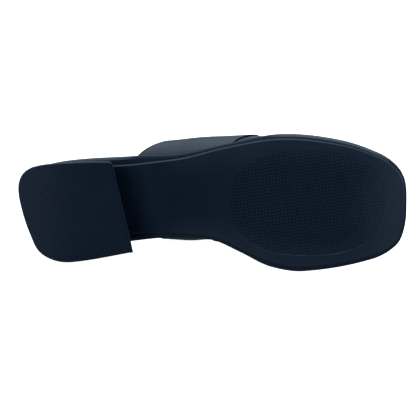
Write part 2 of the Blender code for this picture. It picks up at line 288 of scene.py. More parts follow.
# Edges of the straps along the shoe, by the share of the way over the foot from the outer to the inner root
StrapEdges = namedtuple("StrapEdges", "share rear front")
OVER_STRAP = [StrapEdges(*row) for row in (
    (0.0, 69.3, 136.6),
    (0.055, 75.2, 140.0),
    (0.1, 82.0, 145.4),
    (0.17, 95.5, 155.5),
    (0.3, 106.0, 162.5),
    (0.5, 115.0, 165.0),
    (0.75, 124.0, 166.5),
    (1.0, 131.0, 168.0),
)]
UNDER_STRAP = [StrapEdges(*row) for row in (
    (0.0, 124.0, 166.0),
    (0.1, 122.5, 163.0),
    (0.2, 121.0, 157.0),
    (0.3, 118.5, 152.0),
    (0.5, 113.0, 147.0),
    (0.75, 102.0, 145.0),
    (0.9, 92.0, 143.0),
    (1.0, 84.0, 142.0),
)]

# Soft creases of the straps: from one place to another on a strap, as shares across and over the foot.
# A trough has a negative rise.
Crease = namedtuple("Crease", "across_from over_from across_to over_to width rise")
OVER_CREASES = [Crease(*row) for row in (
    (0.08, 0.085, 0.75, 0.105, 4.0, -0.15),
    (0.12, 0.125, 0.85, 0.140, 5.0, 0.20),
    (0.45, 0.93, 0.70, 0.80, 5.0, -0.30),
    (0.20, 0.90, 0.35, 0.76, 6.0, 0.25),
)]
UNDER_CREASES = [Crease(*row) for row in (
    (0.30, 0.90, 0.55, 0.78, 5.0, -0.30),
    (0.55, 0.08, 0.75, 0.18, 4.0, -0.25),
)]

# Row of a sole layer's section: inset from its edge, height over the underside, share of the way to the spine
SectionRow = namedtuple("SectionRow", "inset lift share")


def linear(hex_colour):
    """Linear colour of an sRGB hex value."""
    parts = [int(hex_colour[i:i + 2], 16) / 255 for i in (1, 3, 5)]
    return tuple(part / 12.92 if part <= 0.04045 else ((part + 0.055) / 1.055) ** 2.4 for part in parts)


def number(name, description, default, unit="NONE"):
    """Number that a user may change."""
    return FloatProperty(name=name, description=description, default=default, unit=unit)


def colour(name, description, hex_colour):
    """Colour that a user may change."""
    return FloatVectorProperty(
        name=name, description=description, default=linear(hex_colour), subtype="COLOR")


class MuleSizes(bpy.types.PropertyGroup):
    """Sizes of the mule's fine detail."""

    strap_wall: number("Strap wall", "Thickness of the lined straps", 0.0020, "LENGTH")
    strap_rounding: number("Strap edge", "Rounding of the straps' edges", 0.0006, "LENGTH")
    tread_pitch: number("Tread pitch", "Spacing of the forefoot's crossing grooves", 0.0020, "LENGTH")
    tread_groove: number("Tread groove", "Width of a groove's slope", 0.0003, "LENGTH")
    tread_height: number("Tread height", "Height of the forefoot's small pads", 0.00038, "LENGTH")
    # The real ribs are about 1.3 mm apart, and are drawn a little coarser so that they show
    rib_pitch: number("Rib pitch", "Spacing of the ribs under the heel", 0.0015, "LENGTH")
    rib_height: number("Rib height", "Height of the ribs under the heel", 0.0004, "LENGTH")
    stitch: number("Stitch", "Length of a stitch round the sock", 0.0026, "LENGTH")
    thread: number("Thread", "Thickness of the sewing thread", 0.0006, "LENGTH")


class MuleColours(bpy.types.PropertyGroup):
    """Colours of the mule's finishes."""

    rubber: colour("Rubber", "Moulded sole rubber", "#091521")
    # Paler tone for the rubber's painted sheen where light falls, which its mottling also reaches a little
    rubber_worn: colour("Rubber bloom", "Paler bloom on the rubber", "#1c242d")
    # Painted highlight on the outer side of the sole's and heel's edges
    trimmed: colour("Trimmed edge", "Buffed edge of the sole", "#28353f")
    leather: colour("Leather", "Smooth upper leather", "#1d2c34")
    leather_high: colour("Leather high", "Tops of the leather's grain", "#26363e")
    # Darker tones of the strap leather for the footbed's wrap: painted shade, as under the straps
    wrap: colour("Wrap", "Leather round the footbed", "#0a1a27")
    wrap_high: colour("Wrap high", "Tops of the wrap's grain", "#0f212e")
    # Painted light on the rim's outer side, where no strap shades it
    wrap_rubbed: colour("Rubbed rim", "Rim rubbed paler by wear", "#474e50")
    lining: colour("Lining", "Lining under the straps", "#161d24")
    sock: colour("Sock", "Sock that the foot stands on", "#141c24")
    # Also painted shade on the footbed's faces tucked in against the outsole
    edge: colour("Edge", "Inked edges of the straps", "#0c1926")
    heel: colour("Heel", "Lacquer of the heel block", "#121b25")
    thread: colour("Thread", "Sewing thread", "#1f2429")


class MuleStage(bpy.types.PropertyGroup):
    """Floor, lights and camera."""

    floor: colour("Floor", "Pale studio floor", "#fafafa")
    surroundings: colour("Surroundings", "Tint of all the light", "#d9e6f5")
    surroundings_strength: number("Surroundings strength", "Strength of the light from all round", 0.2)
    low_light: number("Low light", "Strength of the light from below the shoe", 0.12)
    floor_glow: number("Floor glow", "Light that comes through the floor by the shoe", 0.9)
    back_power: number("Back light", "Power of the wide light behind the shoe", 8.6, "POWER")
    top_power: number("Top light", "Power of the light overhead", 4.0, "POWER")
    left_power: number("Left light", "Power of the light in front of the heel", 27.0, "POWER")
    right_power: number("Right light", "Power of the light in front of the toe", 2.4, "POWER")
    rear_power: number("Rear light", "Power of the low light on the foot's side", 24.0, "POWER")
    camera_distance: number("Camera distance", "From the waist of the sole", 0.585, "LENGTH")
    camera_tilt: FloatProperty(
        name="Camera tilt", description="From square to the sole, towards the outer side",
        default=math.radians(4.5), subtype="ANGLE")
    lens: number("Lens", "Focal length on a 36 mm sensor", 79.71, "CAMERA")


def hermite(x, start, end):
    """Height at x on the cubic between two (x, value, slope) points."""
    span = end[0] - start[0]
    t = (x - start[0]) / span
    rise = end[1] - start[1]
    bend_in = start[2] * span - rise
    bend_out = rise - end[2] * span
    return start[1] + rise * t + t * (1 - t) * ((1 - t) * bend_in + t * bend_out)


def row_before(keys, x):
    """Index of the row that begins the stretch holding x, from the rows' rising keys."""
    return min(max(bisect_right(keys, x) - 1, 0), len(keys) - 2)


def smooth_value(rows, x, column):
    """Value of a column at x, on a smooth curve through the rows of a table whose first column is its key."""
    knots = [(row[0], getattr(row, column)) for row in rows]

    def slope(index):
        low = knots[max(index - 1, 0)]
        high = knots[min(index + 1, len(knots) - 1)]
        return (high[1] - low[1]) / (high[0] - low[0])

    i = row_before([key for key, value in knots], x)
    return hermite(x, (*knots[i], slope(i)), (*knots[i + 1], slope(i + 1)))


def smoothstep(share):
    """Eased step from 0 to 1."""
    t = min(max(share, 0.0), 1.0)
    return t * t * (3 - 2 * t)


def ramp(x, ends):
    """Eased rise from 0 at the first of two places to 1 at the second."""
    return smoothstep((x - ends[0]) / (ends[1] - ends[0]))


def sole_line(x):
    """Height and slope of the underside of the sole at x."""
    i = row_before([row.x for row in SOLE_PROFILE], x)
    start, end = ((row.x, row.z, row.slope) for row in SOLE_PROFILE[i:i + 2])
    behind, here, ahead = (hermite(x + step, start, end) for step in (-SLOPE_STEP, 0.0, SLOPE_STEP))
    return here, (ahead - behind) / (2 * SLOPE_STEP)


def sole_height(x, lift=0.0):
    """Height of the sole at x, raised square to its slope."""
    height, slope = sole_line(x)
    return height + lift * math.hypot(1.0, slope)


def sole_down(x):
    """Direction that the underside of the sole faces at x."""
    return Vector((sole_line(x)[1], 0.0, -1.0)).normalized()


def smooth_path(rows, closed):
    """Dense points on a smooth flat curve through the rows of an outline."""
    points = [Vector((row.x, row.y)) for row in rows]
    count = len(points)
    path = []
    for i in range(count if closed else count - 1):
        start, end = points[i], points[(i + 1) % count]
        before = points[i - 1] if closed or i > 0 else start
        after = points[(i + 2) % count] if closed or i + 2 < count else end
        reach = (end - start).length / 3
        leave = start + (end - before).normalized() * reach
        arrive = end - (after - start).normalized() * reach
        path += interpolate_bezier(start, leave, arrive, end, CURVE_STEPS + 1)[:-1]
    return path if closed else path + [points[-1]]


def path_lengths(path):
    """Length of a path up to each of its points."""
    lengths = [0.0]
    for start, end in zip(path, path[1:]):
        lengths.append(lengths[-1] + (end - start).length)
    return lengths


def place_at(lengths, want):
    """Index of a path, with its fraction, at a length along it."""
    i = row_before(lengths, want)
    return i + (want - lengths[i]) / (lengths[i + 1] - lengths[i])


def point_at(path, place):
    """Point of a path at an index with a fraction; a closed path goes on from its start."""
    i = int(place)
    return path[i % len(path)].lerp(path[(i + 1) % len(path)], place - i)


def along(path, share):
    """Point at a share of the length of a dense path."""
    lengths = path_lengths(path)
    place = place_at(lengths, share * lengths[-1])
    return path[-1].copy() if place >= len(path) - 1 else point_at(path, place)


FOOTBED_PATH = smooth_path(FOOTBED_EDGE, closed=True)
HEEL_PATH = smooth_path(HEEL_FOOT, closed=False)


def inset_path(inset):
    """Edge of the footbed moved inwards by inset(x)."""
    path = FOOTBED_PATH
    moved = []
    for i, point in enumerate(path):
        run = (path[(i + 1) % len(path)] - path[i - 1]).normalized()
        moved.append(point + Vector((-run.y, run.x)) * inset(point.x))
    return moved


def outsole_inset(x):
    """Distance of the outsole's edge inside the footbed's edge."""
    return smooth_value(OUTSOLE_INSET, x, "inset")


def crossing(x, side):
    """Index, with its fraction, where the footbed's edge passes x on the outer (-1) or inner (+1) side."""
    path = FOOTBED_PATH
    for i, start in enumerate(path):
        end = path[(i + 1) % len(path)]
        if (start.x - x) * (end.x - x) <= 0 and start.x != end.x:
            share = (x - start.x) / (end.x - start.x)
            if side * start.lerp(end, share).y > 0:
                return i + share
    raise ValueError(f"the footbed has no edge at {x}")


RIM_REACH = {
    side: [point_at(FOOTBED_PATH, crossing(x, side)).y for x in range(RIM_FROM, RIM_TO + 1)]
    for side in (-1, 1)
}


def rim_at(x, side):
    """Reach of the footbed's rim at x, between whole millimetres."""
    x = min(max(x, RIM_FROM), RIM_TO)
    i = min(int(x) - RIM_FROM, RIM_TO - RIM_FROM - 1)
    start, end = RIM_REACH[side][i:i + 2]
    return start + (end - start) * (x - RIM_FROM - i)


def ring_places():
    """Where a ring round the sole has its points: an index on the footbed's edge, and the spine point faced.

    Along the sides, points lie in pairs at one x; round the toe and the heel they are evenly spaced.
    """
    rear, front = SPINE_ENDS
    sides = []
    for i in range(SIDE_STEPS + 1):
        x = rear + (front - rear) * i / SIDE_STEPS
        outer, inner = crossing(x, -1), crossing(x, 1)
        middle = point_at(FOOTBED_PATH, outer).lerp(point_at(FOOTBED_PATH, inner), 0.5)
        sides.append((outer, inner, middle))
    twice_round = path_lengths(FOOTBED_PATH * 2)

    def length_at(place):
        i = int(place)
        return twice_round[i] + (twice_round[i + 1] - twice_round[i]) * (place - i)

    def round_end(first, last, spine):
        start, end = length_at(first), length_at(last)
        steps = (start + (end - start) * i / END_STEPS for i in range(1, END_STEPS))
        return [(place_at(twice_round, length), spine) for length in steps]

    places = [(outer, middle) for outer, inner, middle in sides]
    places += round_end(*sides[-1])
    places += [(inner, middle) for outer, inner, middle in reversed(sides)]
    outer, inner, middle = sides[0]
    places += round_end(inner, outer + len(FOOTBED_PATH), middle)
    return places


RING_PLACES = ring_places()


def sole_ring(inset, row):
    """Ring of points round a sole layer, for one row of its section."""
    path = inset_path(lambda x: inset(x) + row.inset)
    ring = []
    for place, spine in RING_PLACES:
        flat = point_at(path, place).lerp(spine, row.share)
        ring.append(Vector((*flat, sole_height(flat.x, row.lift))))
    return ring


def layer_section(low, high, round_low, round_high, steps=ARC_STEPS):
    """Rows of a sole layer from the middle of its underside, round its edge, to the middle of its top."""
    rows = [SectionRow(round_low, low, 1 - i / ACROSS_STEPS) for i in range(ACROSS_STEPS)]
    turns = [math.pi / 2 * i / steps for i in range(steps + 1)]
    for turn in reversed(turns):
        inward, upward = (round_low * (1 - part) for part in (math.cos(turn), math.sin(turn)))
        rows.append(SectionRow(inward, low + upward, 0.0))
    for turn in turns:
        inward, downward = (round_high * (1 - part) for part in (math.cos(turn), math.sin(turn)))
        rows.append(SectionRow(inward, high - downward, 0.0))
    rows += [SectionRow(round_high, high, (i + 1) / ACROSS_STEPS) for i in range(ACROSS_STEPS)]
    return rows


def rest_pose():
    """Matrix from the shoe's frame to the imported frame, from the two ground points that the record mounts."""
    mounts = {mount["name"]: mount for mount in frame["record"]["mounts"]}
    heel, tread = (Vector(mounts[name]["pos_m"]) for name in GROUND_MOUNTS)
    heel_flat, tread_flat = GROUND_MOUNTS.values()
    up = -Vector(mounts["heel_ground"]["axis"]).normalized()
    run = (tread - heel).normalized()
    flat_run = (tread_flat - heel_flat).normalized()
    forward = run * flat_run.x - up.cross(run) * flat_run.y
    forward = (forward - up * forward.dot(up)).normalized()
    pose = Matrix((forward, up.cross(forward), up)).transposed().to_4x4()
    pose.translation = heel - pose.to_3x3() @ heel_flat.to_3d() * MM
    return pose


REST_POSE = rest_pose()


def new_grid(name, cells, place):
    """Adds a grid and sets its points by place(u, v), both running from 0 to 1."""
    bpy.ops.object.select_all(action="DESELECT")
    bpy.ops.mesh.primitive_grid_add(x_subdivisions=cells[0], y_subdivisions=cells[1], size=1.0)
    piece = bpy.context.object
    piece.name = piece.data.name = name
    for vert in piece.data.vertices:
        vert.co = place(vert.co.x + 0.5, vert.co.y + 0.5)
    return piece


def begin_edit(piece):
    """Opens a piece in edit mode with all of it selected."""
    bpy.context.view_layer.objects.active = piece
    bpy.ops.object.mode_set(mode="EDIT")
    bpy.ops.mesh.select_all(action="SELECT")


def end_edit():
    """Goes back to object mode."""
    bpy.ops.object.mode_set(mode="OBJECT")


def close_rings(name, rings):
    """Closed solid through rings of points, each ring joined to the next and open ends filled."""
    count = len(rings[0])
    rows = len(rings) - 1
    piece = new_grid(name, (count, rows), lambda u, v: rings[round(v * rows)][round(u * count) % count])
    begin_edit(piece)
    bpy.ops.mesh.remove_doubles(threshold=MERGE)
    bpy.ops.mesh.fill_holes(sides=0)
    bpy.ops.mesh.normals_make_consistent(inside=False)
    end_edit()
    return piece


def sole_layer(name, inset, section):
    """Closed layer of the sole from the rows of its section."""
    return close_rings(name, [sole_ring(inset, row) for row in section])


def change(piece, kind, **settings):
    """Adds a modifier to a piece and applies it."""
    modifier = piece.modifiers.new(kind.lower(), kind)
    for name, value in settings.items():
        setattr(modifier, name, value)
    bpy.context.view_layer.objects.active = piece
    bpy.ops.object.modifier_apply(modifier=modifier.name)


def round_edges(piece, width, segments=3):
    """Rounds the sharp edges of a piece."""
    change(piece, "BEVEL", width=width, segments=segments, limit_method="ANGLE", angle_limit=SHARP_ANGLE)


def cut(piece, operation, block):
    """Cuts a piece by a block, which is then removed."""
    change(piece, "BOOLEAN", operation=operation, solver="EXACT", object=block)
    bpy.data.objects.remove(block)


def note(piece, attribute, amounts):
    """Writes an amount for each point of a piece, for its material to read."""
    piece.data.attributes.new(attribute, "FLOAT", "POINT").data.foreach_set("value", amounts)


def settle(piece, slot, node, *materials):
    """Lays a finished piece down with the shoe, in the place of its CAD node, and gives it its finish."""
    for material in materials:
        piece.data.materials.append(material)
    bpy.ops.object.select_all(action="DESELECT")
    piece.select_set(True)
    bpy.context.view_layer.objects.active = piece
    bpy.ops.object.shade_smooth_by_angle(angle=SHARP_ANGLE)
    piece.data.transform(REST_POSE @ Matrix.Scale(MM, 4))
    piece.data.update()
    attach(piece, BODY)
    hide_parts(node)


def add_node(tree, kind, values=None, links=None, into=None):
    """Adds a shader node with its settings, links its inputs to other nodes and itself into a socket.

    A node is linked by its first output.
    """
    node = tree.nodes.new("ShaderNode" + kind)
    for name, value in (values or {}).items():
        if name == "stops":
            elements = node.color_ramp.elements
            for position, tone in value[len(elements):]:
                elements.new(position)
            for element, (position, tone) in zip(elements, value):
                element.position, element.color = position, (*tone, 1.0)
        elif isinstance(name, int) or name in node.inputs:
            node.inputs[name].default_value = value
        else:
            setattr(node, name, value)
    for name, source in (links or {}).items():
        tree.links.new(getattr(source, "outputs", [source])[0], node.inputs[name])
    if into is not None:
        tree.links.new(node.outputs[0], into)
    return node


def new_material(name, **values):
    """Material with a Principled shader, a way to add nodes, the shader's sockets and Object coordinates."""
    material = bpy.data.materials.new(name)
    material.use_nodes = True
    tree = material.node_tree
    sockets = tree.nodes["Principled BSDF"].inputs
    for socket, value in values.items():
        sockets[socket.replace("_", " ")].default_value = value
    coordinates = add_node(tree, "TexCoord")
    return material, partial(add_node, tree), sockets, coordinates.outputs["Object"]


def per_metre(size_mm):
    """Texture scale, on coordinates in metres, that gives a pattern of that size."""
    return 1.0 / (size_mm * MM)


def moulded_rubber(colours):
    """Thermoplastic rubber from a fine-sparked mould: matt, faintly mottled, with a paler painted sheen towards
    its edges.
    """
    material, add, sockets, place = new_material("moulded_rubber", IOR=1.5, Specular_IOR_Level=0.04)
    bloom = add("TexNoise", {"Scale": per_metre(11.0), "Detail": 4.0}, {"Vector": place})
    # Painted sheen: paler at the sides, the toe, the back of the heel and on the tread
    paling = add("Attribute", {"attribute_name": PAINTED_LIGHT})
    amount = add(
        "Math", {"operation": "MULTIPLY_ADD", 1: 0.3, "use_clamp": True},
        {0: bloom, 2: paling.outputs["Fac"]})
    stops = ((0.2, colours.rubber), (1.0, colours.rubber_worn))
    add("ValToRGB", {"stops": stops}, {"Fac": amount}, sockets["Base Color"])
    add("MapRange", {"To Min": 0.56, "To Max": 0.70}, {"Value": bloom}, sockets["Roughness"])
    # The mould's real spark marks are about 0.1 mm wide, and are drawn coarser so that they show
    spark = add("TexNoise", {"Scale": per_metre(0.5), "Detail": 2.0}, {"Vector": place})
    add("Bump", {"Strength": 0.25, "Distance": 0.05 * MM}, {"Height": spark}, sockets["Normal"])
    return material


def trimmed_edge(colours):
    """Rubber edge, cut on a wheel and waxed: satin, with the wheel's marks and a painted highlight on its outer
    side.
    """
    material, add, sockets, place = new_material("trimmed_edge", IOR=1.5, Specular_IOR_Level=0.3)
    # Painted highlight: paler on the edge's outer side, which lies uppermost under the lights
    highlight_mask = add("Attribute", {"attribute_name": EDGE_HIGHLIGHT})
    stops = ((0.0, colours.rubber), (1.0, colours.trimmed))
    add("ValToRGB", {"stops": stops}, {"Fac": highlight_mask.outputs["Fac"]}, sockets["Base Color"])
    # The wheel's real marks are about 0.2 mm apart, and are drawn coarser so that they show
    marks = add("TexNoise", {"Scale": per_metre(0.8), "Detail": 3.0}, {"Vector": place})
    add("MapRange", {"To Min": 0.36, "To Max": 0.50}, {"Value": marks}, sockets["Roughness"])
    add("Bump", {"Strength": 0.2, "Distance": 0.04 * MM}, {"Height": marks}, sockets["Normal"])
    return material


def grained_leather(name, tones, dull, glossy, **values):
    """Fine close grain and faint cloudiness of calf leather, in two tones, from dull to glossy roughness."""
    material, add, sockets, place = new_material(name, IOR=1.5, **values)
    warp = add("TexNoise", {"Scale": per_metre(2.4), "Detail": 2.0}, {"Vector": place})
    bent = add("Mix", {"data_type": "VECTOR", 0: GRAIN_BEND * MM}, {4: place, 5: warp.outputs["Color"]})
    # The real grain is about 0.4 mm wide, and is drawn coarser so that it shows
    grain = add(
        "TexVoronoi", {"feature": "DISTANCE_TO_EDGE", "Scale": per_metre(1.0)}, {"Vector": bent.outputs[1]})
    pebble = add("MapRange", {"From Max": 0.35, "interpolation_type": "SMOOTHSTEP"}, {"Value": grain})
    cloud = add("TexNoise", {"Scale": per_metre(14.0), "Detail": 3.0}, {"Vector": place})
    tone = add("Math", {"operation": "MULTIPLY"}, {0: pebble, 1: cloud})
    add("ValToRGB", {"stops": tuple(zip((0.0, 1.0), tones))}, {"Fac": tone}, sockets["Base Color"])
    add("MapRange", {"To Min": glossy, "To Max": dull}, {"Value": cloud}, sockets["Roughness"])
    add("Bump", {"Strength": 0.35, "Distance": 0.06 * MM}, {"Height": pebble}, sockets["Normal"])
    return material


def smooth_leather(colours):
    """Aniline-finished calf leather, plated smooth: it takes a soft sheen along the straps' bends."""
    return grained_leather(
        "smooth_leather", (colours.leather, colours.leather_high), 0.48, 0.36, Specular_IOR_Level=0.3,
        Coat_Weight=0.1, Coat_Roughness=0.3)


def wrap_leather(colours):
    """The same leather round the footbed, painted darker as shade and duller, with painted light along the rim.
    """
    material = grained_leather(
        "wrap_leather", (colours.wrap, colours.wrap_high), 0.50, 0.40, Specular_IOR_Level=0.2)
    tree = material.node_tree
    base = tree.nodes["Principled BSDF"].inputs["Base Color"]
    # Painted light on the rim's outer side where no strap shades it
    rim_light = add_node(tree, "Attribute", {"attribute_name": PAINTED_LIGHT})
    lit_rim = add_node(
        tree, "Mix", {"data_type": "RGBA", 7: (*colours.wrap_rubbed, 1.0)},
        {0: rim_light.outputs["Fac"], 6: base.links[0].from_socket})
    tree.links.new(lit_rim.outputs[2], base)
    return material


def pigskin_lining(colours):
    """Dull lining leather with its pores in small groups, darker than the straps' face."""
    material, add, sockets, place = new_material("pigskin_lining", Roughness=0.78, IOR=1.45)
    pores = add("TexVoronoi", {"feature": "F1", "Scale": per_metre(1.6)}, {"Vector": place})
    pit = add("MapRange", {"From Min": 0.10, "From Max": 0.32}, {"Value": pores})
    stops = ((0.0, colours.edge), (1.0, colours.lining))
    add("ValToRGB", {"stops": stops}, {"Fac": pit}, sockets["Base Color"])
    add("Bump", {"Strength": 0.3, "Distance": 0.08 * MM}, {"Height": pit}, sockets["Normal"])
    return material


def sock_leather(colours):
    """Soft sheepskin over a thin foam: dull, with a fine wrinkled grain."""
    material, add, sockets, place = new_material("sock_leather", Roughness=0.62, IOR=1.45)
    grain = add(
        "TexVoronoi", {"feature": "SMOOTH_F1", "Scale": per_metre(0.9), "Smoothness": 0.4}, {"Vector": place})
    cloud = add("TexNoise", {"Scale": per_metre(20.0), "Detail": 3.0}, {"Vector": place})
    stops = ((0.0, colours.edge), (0.6, colours.sock))
    add("ValToRGB", {"stops": stops}, {"Fac": cloud}, sockets["Base Color"])
    add("Bump", {"Strength": 0.4, "Distance": 0.08 * MM}, {"Height": grain}, sockets["Normal"])
    return material


def inked_edge(colours):
    """Edge ink brushed on the cut leather: near black, dull, slightly uneven; also painted shade on the
    footbed's tuck.
    """
    material, add, sockets, place = new_material(
        "inked_edge", Base_Color=(*colours.edge, 1.0), Roughness=0.6, Specular_IOR_Level=0.04)
    brush = add("TexNoise", {"Scale": per_metre(1.2), "Detail": 2.0}, {"Vector": place})
    add("Bump", {"Strength": 0.3, "Distance": 0.06 * MM}, {"Height": brush}, sockets["Normal"])
    return material


def heel_lacquer(colours):
    """Lacquer sprayed on a moulded heel: even, half glossy, with a faint orange peel."""
    material, add, sockets, place = new_material(
        "heel_lacquer", Base_Color=(*colours.heel, 1.0), Specular_IOR_Level=0.1, Coat_Weight=0.03,
        Coat_Roughness=0.25)
    peel = add("TexNoise", {"Scale": per_metre(2.2), "Detail": 1.0}, {"Vector": place})
    add("MapRange", {"To Min": 0.38, "To Max": 0.46}, {"Value": peel}, sockets["Roughness"])
    add("Bump", {"Strength": 0.15, "Distance": 0.05 * MM}, {"Height": peel}, sockets["Normal"])
    return material


def bonded_thread(colours):
    """Bonded polyester thread: twisted, slightly shiny."""
    material, add, sockets, place = new_material(
        "bonded_thread", Base_Color=(*colours.thread, 1.0), Roughness=0.5, Sheen_Weight=0.2)
    twist = add("TexWave", {"Scale": per_metre(0.5), "Distortion": 1.0}, {"Vector": place})
    add("Bump", {"Strength": 0.4, "Distance": 0.05 * MM}, {"Height": twist.outputs["Fac"]}, sockets["Normal"])
    return material


def shared(make):
    """Material of a finish, made at its first use."""
    return bpy.data.materials.get(make.__name__) or make(bpy.context.scene.mule_colours)


def paling_at(x, y):
    """How much painted sheen the rubber gets at a place of the sole or the heel."""
    inside = min(rim_at(x, 1) - y, y - rim_at(x, -1))
    sides = PAINTED_SHEEN_SIDES * smoothstep(1 - inside / SIDES_REACH) * ramp(x, SIDES_FROM)
    return max(sides, PAINTED_SHEEN_TOE * ramp(x, TOE_FROM), PAINTED_SHEEN_HEEL * ramp(x, HEEL_FROM))


def pale_rubber(piece, more=0.0):
    """Notes on a rubber piece how much painted sheen each point gets."""
    note(piece, PAINTED_LIGHT, [paling_at(vert.co.x, vert.co.y) + more for vert in piece.data.vertices])


def rub_rim(footbed):
    """Notes on the footbed how much painted light its rim gets at each point."""
    amounts = []
    for vert in footbed.data.vertices:
        x, y, z = vert.co
        free = max(ramp(x, RIM_LIGHT_REAR), ramp(x, RIM_LIGHT_FRONT) * ramp(x, RIM_LIGHT_TOE))
        under = vert.normal.dot(sole_down(x))
        amounts.append(free * ramp(y, RIM_LIGHT_OUTWARDS) * ramp(under, RIM_LIGHT_UNDER))
    note(footbed, PAINTED_LIGHT, amounts)


def trim_edge(piece):
    """Gives a moulded piece its rubber and painted sheen, and its edge the waxed finish with a painted
    highlight outside.
    """
    for material in (shared(moulded_rubber), shared(trimmed_edge)):
        piece.data.materials.append(material)
    for face in piece.data.polygons:
        face.material_index = int(abs(face.normal.z) < EDGE_FACING)
    pale_rubber(piece)
    note(piece, EDGE_HIGHLIGHT, [ramp(vert.normal.y, EDGE_HIGHLIGHT_OUTWARDS) for vert in piece.data.vertices])


def raise_pads(sheet, slope, height, wall, outline):
    """Raises each cell of a sheet as a pad, gives the sheet its wall and cuts it to an outline's rings."""
    begin_edit(sheet)
    bpy.ops.mesh.inset(use_individual=True, thickness=slope, depth=height)
    end_edit()
    change(sheet, "SOLIDIFY", thickness=wall, offset=-1.0)
    cut(sheet, "INTERSECT", close_rings("outline", outline))
    # Painted sheen, a little paler on the pads than on the sole round them
    pale_rubber(sheet, PAINTED_SHEEN_TREAD)


def oval_ring(grow, share, lift):
    """Ring of the tread's full-shouldered oval, grown by a distance, its width drawn in to a share."""
    ring = []
    for i in range(OVAL_RING):
        turn = 2 * math.pi * i / OVAL_RING
        forward, sideways = (
            math.copysign(abs(part) ** (2 / TREAD_SQUARENESS), part)
            for part in (math.cos(turn), math.sin(turn)))
        x = TREAD_MIDDLE.x + (TREAD_HALF.x + grow) * forward
        y = TREAD_MIDDLE.y + (TREAD_HALF.y + grow) * sideways * share
        ring.append(Vector((x, y, sole_height(x, lift))))
    return ring


def oval_block(low, high):
    """Rings of a block on the tread's oval between two (grow, lift) levels, curved as the sole is."""
    shares = (0.0, 0.5, 1.0)
    rings = [oval_ring(low[0], share, low[1]) for share in shares]
    return rings + [oval_ring(high[0], share, high[1]) for share in reversed(shares)]


def sink_tread(outsole):
    """Sinks the tread's oval into the outsole, with a sloping edge."""
    deep = TREAD_SUNK + TREAD_WALL / 2
    cut(outsole, "DIFFERENCE", close_rings("pocket", oval_block((deep, -deep), (-deep, deep))))


def make_tread(sizes):
    """Oval panel of small square pads under the forefoot, level with the sole round it."""
    pitch = sizes.tread_pitch / MM
    across, length = (2 * math.ceil(part * TREAD_SPARE / pitch) for part in (TREAD_HALF.y, TREAD_HALF.x))
    lean = Vector((math.cos(TREAD_LEAN), math.sin(TREAD_LEAN)))
    sideways = Vector((-lean.y, lean.x))

    def place(u, v):
        flat = TREAD_MIDDLE + lean * ((v - 0.5) * length * pitch) + sideways * ((u - 0.5) * across * pitch)
        return Vector((*flat, sole_height(flat.x, TREAD_SUNK)))

    tread = new_grid("tread_panel", (across, length), place)
    edge = -TREAD_SUNK * TREAD_RIM
    outline = oval_block((edge, -TREAD_CUT), (edge, TREAD_CUT))
    raise_pads(tread, sizes.tread_groove / MM, sizes.tread_height / MM, TREAD_WALL, outline)
    return tread


def seat_path():
    """Edge of the heel under its seat, inside the outsole, from the breast's inner end round the back."""
    path = inset_path(lambda x: outsole_inset(x) + SEAT_MARGIN)
    lean = (BREAST_INNER.x - BREAST_OUTER.x) / (BREAST_INNER.y - BREAST_OUTER.y)
    ahead = [point.x > BREAST_OUTER.x + lean * (point.y - BREAST_OUTER.y) for point in path]
    first = ahead.index(True)
    last = len(path) - ahead[::-1].index(True)
    return path[last:] + path[:first]


def heel_ring(height, inset=0.0):
    """Ring of the heel at a height, or under the seat where there is none, drawn in behind its breast."""
    seat = seat_path()
    step = 0.5 / HEEL_RING
    ring = []
    for i in range(HEEL_RING):
        share = i / (HEEL_RING - 1)
        low = along(HEEL_PATH, share).to_3d()
        high = along(seat, share).to_3d()
        high.z = sole_height(high.x) - GAP
        point = low.lerp(high, 1.0 if height is None else height / high.z)
        run = along(HEEL_PATH, min(share + step, 1.0)) - along(HEEL_PATH, max(share - step, 0.0))
        run.normalize()
        corner = smoothstep(min(share, 1 - share) / HEEL_CORNER)
        ring.append(point + Vector((-run.y, run.x, 0.0)) * inset * corner)
    breast = [ring[-1].lerp(ring[0], i / BREAST_RING) for i in range(1, BREAST_RING)]
    return ring + breast


def make_ribs(sizes):
    """Fine ribs under the heel, which run along its breast."""
    pitch = sizes.rib_pitch / MM
    inner, outer = HEEL_PATH[0], HEEL_PATH[-1]
    run = (inner - outer).normalized()
    back = Vector((-run.y, run.x))
    count = math.ceil(RIB_FIELD.y / pitch)

    def place(u, v):
        flat = outer + run * (RIB_FIELD.x * v - RIB_SPARE) + back * (count * pitch * u)
        return Vector((*flat, -RIB_STAND))

    ribs = new_grid("heel_ribs", (count, 1), place)
    edge = [point.xy + (HEEL_MIDDLE - point.xy).normalized() * RIB_MARGIN for point in heel_ring(0.0)]
    outline = [[Vector((*point, z)) for point in edge] for z in (-RIB_CUT, RIB_CUT)]
    raise_pads(ribs, pitch * RIB_SLOPE, sizes.rib_height / MM, RIB_WALL, outline)
    return ribs


def last_section(x):
    """Inner face of the upper at x, as a dense path from the outer to the inner root."""
    base = sole_height(x, FOOTBED_TOP)
    ridge = smooth_value(LAST, x, "ridge")
    top = smooth_value(LAST, x, "height")
    halves = []
    for side, column, flare in ((-1, "outer", FLARE_OUTER), (1, "inner", FLARE_INNER)):
        reach = smooth_value(LAST, x, column)
        root = rim_at(x, side) - side * STRAP_INSET
        half = []
        for i in range(SECTION_STEPS):
            z = -STRAP_TUCK + (flare + STRAP_TUCK) * i / SECTION_STEPS
            y = reach + (root - reach) * (1 - z / flare) ** 2
            half.append(Vector((y, base + z)))
        for i in range(SECTION_STEPS + 1):
            turn = math.pi / 2 * i / SECTION_STEPS
            y = ridge + (reach - ridge) * math.cos(turn)
            half.append(Vector((y, base + flare + (top - flare) * math.sin(turn))))
        halves.append(half)
    outer, inner = halves
    return outer + inner[-2::-1]


